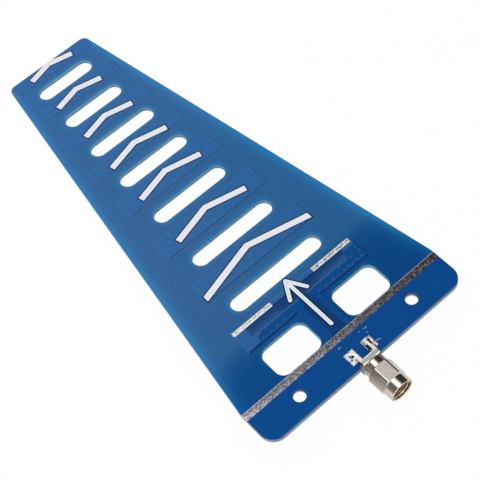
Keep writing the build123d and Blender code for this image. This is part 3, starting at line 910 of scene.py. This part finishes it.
def thread_ridge(material):
    """The coupling nut's inner thread: one ridge that winds round the bore."""
    pitch, start, turns = 0.706, 7.35, 5.6
    root, crest, width = 3.24, 2.88, 0.62
    piece = begin(bpy.ops.mesh.primitive_circle_add, vertices=3, radius=1, fill_type="NOTHING")
    places = [(root, -start), (root, -start - width), (crest, -start - width / 2)]
    for vertex, (reach, along) in zip(piece.data.vertices, places):
        vertex.co = (reach * MM, along * MM, 0)
    piece.location = (0, REAR_EDGE * MM, AXIS_HEIGHT * MM)
    screw = piece.modifiers.new("winding", "SCREW")
    screw.axis = "Y"
    screw.angle = 2 * math.pi * turns
    screw.screw_offset = -pitch * turns * MM
    screw.steps = screw.render_steps = int(48 * turns)
    screw.use_merge_vertices = False
    apply_modifier(piece, screw)
    with editing(piece):
        # close the ridge's two ends
        bpy.ops.mesh.select_all(action="DESELECT")
        bpy.ops.mesh.select_mode(type="EDGE")
        bpy.ops.mesh.select_non_manifold()
        bpy.ops.mesh.edge_face_add()
        bpy.ops.mesh.select_all(action="SELECT")
        bpy.ops.mesh.normals_make_consistent(inside=False)
    hand_over(piece, "nut_thread", "nut", material)


def flux_mark(name, points, thick, drop, material):
    """A dried streak of flux by the solder: a thin, flattened bead that bends and ends in a drop."""
    piece = begin(bpy.ops.curve.primitive_bezier_curve_add, radius=1)
    bead = piece.data
    spline = bead.splines[0]
    if len(points) > 2:
        spline.bezier_points.add(len(points) - 2)
    for knot, (x, y) in zip(spline.bezier_points, points):
        knot.co = (x * MM, y * MM, 0)
        knot.handle_left_type = knot.handle_right_type = "AUTO"
    spline.bezier_points[0].radius, spline.bezier_points[-1].radius = 0.45, drop
    bead.dimensions = "3D"
    bead.resolution_u = 10
    bead.bevel_depth = thick * MM
    bead.bevel_resolution = 2
    bead.use_fill_caps = True
    bpy.ops.object.convert(target="MESH")
    piece.location = (0, 0, FOIL_TOP * MM)
    piece.scale = (1, 1, 0.35)
    hand_over(piece, name, "antenna", material, smooth=60)


# painted shade behind each foil, at its rear and right edges
foil_dip_shade = foil_shade_material()
shade_layer("driven_element", shift=(0.3, -0.95), material=foil_dip_shade)
for name in DIRECTORS:
    shade_layer(name, shift=(0.25, -0.42), material=foil_dip_shade)

director_mask = masked_copper("mask_on_foil_shoulders", shoulders=True)
loop_mask = masked_copper("mask_on_driven_element", shoulders=True, on_loop=True)
for name, mask in [(name, director_mask) for name in DIRECTORS] + [
        ("driven_element", loop_mask), ("ground_foil", finishes["masked_foil"])]:
    draped(name, "mask", COPPER_SHOULDER, FOIL_TOP, COPPER_DROP, mask)

for name in CHEVRONS:
    ink_outline(name, chevron_line)
ink_outline("aim_arrow", arrow_line)

# the arrow's ink, with a painted highlight on its sloped edge
arrow_ink = screen_print(
    "pale_blue_screen_print", (214, 230, 243), (180, 208, 234), INK_TOP - 0.0143, rim=(250, 252, 255))
for name in CHEVRONS:
    draped(name, "ink", CHEVRON_SHOULDER, INK_TOP, INK_DROP, finishes["white_print"])
draped("aim_arrow", "ink", ARROW_SHOULDER, INK_TOP, INK_DROP, arrow_ink)

via_mask = tented_via()
for name in DIRECTORS:
    low, high = box(name)
    length, width = high.x - low.x - 2 * VIA_INSET, high.y - low.y - 2 * VIA_INSET
    across, along = max(2, round(length / VIA_PITCH[0])), max(2, round(width / VIA_PITCH[1]))
    places = []
    for step in range(across + 1):
        x = low.x + VIA_INSET + length * step / across
        places += [(x, low.y + VIA_INSET), (x, high.y - VIA_INSET)]
    for step in range(1, along):
        y = low.y + VIA_INSET + width * step / along
        places += [(low.x + VIA_INSET, y), (high.x - VIA_INSET, y)]
    if name == DIRECTORS[-1]:
        # its front corners are cut off
        places = [(x, y) for x, y in places if y < high.y - 1.2 or abs(x) < 13]
    via_field(f"{name}_vias", places, DIRECTOR_VIA, via_mask)

loop_vias = [(x, REAR_EDGE + 26.8) for x in (
    -21.9, -19.4, -16.9, -14.25, -11.5, -8.6, -5.9, 4.9, 7.8, 10.5, 12.9, 15.0, 16.7, 18.3, 20.0, 21.8)]
loop_vias += [(side * 22.6, REAR_EDGE + y) for side in (-1, 1) for y in (28.6, 30.3, 32.0)]
loop_vias += [(side * x, REAR_EDGE + 28.5) for side in (-1, 1) for x in (14.4, 17.1, 19.3)]
via_field("driven_element_vias", loop_vias, LOOP_VIA, via_mask)

lumpy_strip("reflector_bar", BOARD_TOP, cells=(375, 14), lump=0.5, material=finishes["tin"])
bright_tin = strip_tin()
for name in ("tuning_strip_left", "tuning_strip_right"):
    lumpy_strip(name, FOIL_TOP, cells=(84, 12), lump=0.4, material=bright_tin)

for name, seed, rough in (("solder_top_left", 3.7, 1.0), ("solder_top_right", 11.3, 1.0),
                          ("solder_under_left", 21.9, 0.6), ("solder_under_right", 32.1, 0.6),
                          ("solder_tab", 44.3, 0.5)):
    solder_lump(name, seed, rough, finishes["solder"])

nut_shell(finishes["nickel"])
thread_ridge(thread_brass())

for name, points, thick, drop in (
        ("flux_mark_left", [(-4.5, 2.75), (-3.95, 3.02), (-3.2, 2.8)], 0.13, 0.45),
        ("flux_mark_right", [(4.8, -2.3), (5.5, -2.62), (6.35, -2.75), (6.75, -3.2)], 0.15, 0.45),
        ("flux_mark_front", [(5.2, 2.9), (5.8, 2.62), (6.35, 2.6)], 0.13, 2.2),
        ("flux_mark_middle", [(3.5, 2.95), (3.75, 2.78), (4.0, 2.85)], 0.12, 0.45),
        ("flux_mark_inner", [(5.2, 1.35), (5.38, 1.15), (5.6, 1.25)], 0.12, 0.45)):
    flux_mark(name, points, thick, drop, flux)


# Studio and camera
def floor():
    """Pale sheet under the plug's nut and the board's tip, which the antenna rests on."""
    rest_y, rest_z = -9.0 * MM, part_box("coupling_nut")[0].z
    slope = (-FOIL * MM - rest_z) / (from_rear(BOARD_LENGTH) - rest_y)
    drop = rest_z - slope * rest_y - 0.05 * MM
    sheet = begin(bpy.ops.mesh.primitive_plane_add, size=8.0, location=(0, 0, drop),
                  rotation=(math.atan(slope), 0, 0))
    sheet.name = "studio_floor"
    finish = Finish("pale_floor", roughness=0.9, specular=0.1)
    finish.set(Base_Color=finish.ramp(finish.noise(40), [(0.3, (244, 244, 244)), (0.7, (250, 250, 250))]))
    # it glows white for the camera, and half as bright for shiny metal
    rays = finish.new("ShaderNodeLightPath").outputs
    seen = finish.maths("MAXIMUM", rays["Is Camera Ray"], rays["Is Transmission Ray"])
    share = finish.plus(finish.times(seen, 0.97), finish.times(rays["Is Glossy Ray"], 0.45))
    glow = finish.new("ShaderNodeEmission", {"Strength": 1.0})
    blend = finish.new("ShaderNodeMixShader", {0: share, 1: finish.shader.outputs[0], 2: glow.outputs[0]})
    finish.join(blend.outputs[0], finish.tree.nodes["Material Output"].inputs["Surface"])
    sheet.data.materials.append(finish.material)


def studio_world():
    """White room. Shiny metal sees a soft light overhead between two darker sides."""
    world = bpy.data.worlds.new("studio_world")
    bpy.context.scene.world = world
    world.use_nodes = True
    world.node_tree.nodes.clear()
    room = Nodes(world.node_tree)
    x, y, z = room.axes(room.new("ShaderNodeTexCoord").outputs["Generated"])
    turn = room.new("ShaderNodeMapRange", {
        "Value": room.maths("ARCTAN2", x, z), "From Min": -math.pi, "From Max": math.pi})
    # angle from straight up towards +X in degrees, and how bright the room is there
    level = room.ramp(turn.outputs["Result"], [((degrees + 180) / 360, level) for degrees, level in (
        (-180, 0.85), (-125, 0.85), (-98, 0.62), (-84, 0.30), (-60, 0.20), (-42, 0.14), (-27, 0.28),
        (-17, 1.9), (5, 2.0), (12, 1.0), (19, 0.7), (23, 0.25), (29, 0.06), (60, 0.04), (84, 0.05),
        (97, 0.8), (125, 1.15), (155, 1.1), (180, 0.85))])
    # the end wall that the plug's mouth looks at is pale
    level = room.mix(room.step(y, -0.62, -0.85), level, 1.25)
    rays = room.new("ShaderNodeLightPath").outputs
    shiny = room.new("ShaderNodeBackground", {"Color": level})
    plain = room.new("ShaderNodeBackground", {"Color": (1, 1, 1, 1), "Strength": 0.72})
    seen = room.new("ShaderNodeBackground", {"Color": (1, 1, 1, 1)})
    lights = room.new("ShaderNodeMixShader", {
        0: rays["Is Glossy Ray"], 1: plain.outputs[0], 2: shiny.outputs[0]})
    surface = room.new("ShaderNodeMixShader", {
        0: rays["Is Camera Ray"], 1: lights.outputs[0], 2: seen.outputs[0]})
    room.new("ShaderNodeOutputWorld", {"Surface": surface.outputs[0]})


def stand(name, data, place):
    """A lamp or camera in the scene."""
    item = bpy.data.objects.new(name, data)
    bpy.context.scene.collection.objects.link(item)
    item.location = place
    return item


def overhead_softbox():
    lamp = bpy.data.lights.new("overhead_softbox", "AREA")
    lamp.shape = "DISK"
    lamp.size = 0.45
    lamp.energy = 1.1
    place, aim = (-0.22, 0.10, 0.60), (0, 0.06, 0)
    softbox = stand("overhead_softbox", lamp, place)
    softbox.rotation_euler = (Vector(aim) - Vector(place)).to_track_quat("-Z", "Y").to_euler()
    softbox.visible_glossy = False


def photo_camera():
    """The photograph's viewpoint: solved from the board's outline, slots and holes."""
    eye = bpy.data.cameras.new("photo_view")
    eye.lens = 94.74
    eye.sensor_width = 36.0
    eye.clip_start = 0.01
    camera = stand("photo_view", eye, (-0.102883, -0.129198, 0.321527))
    camera.rotation_euler = (0.562373, 0.124737, -0.714299)
    bpy.context.scene.camera = camera


floor()
studio_world()
overhead_softbox()
photo_camera()
bpy.context.scene.view_settings.view_transform = "Standard"
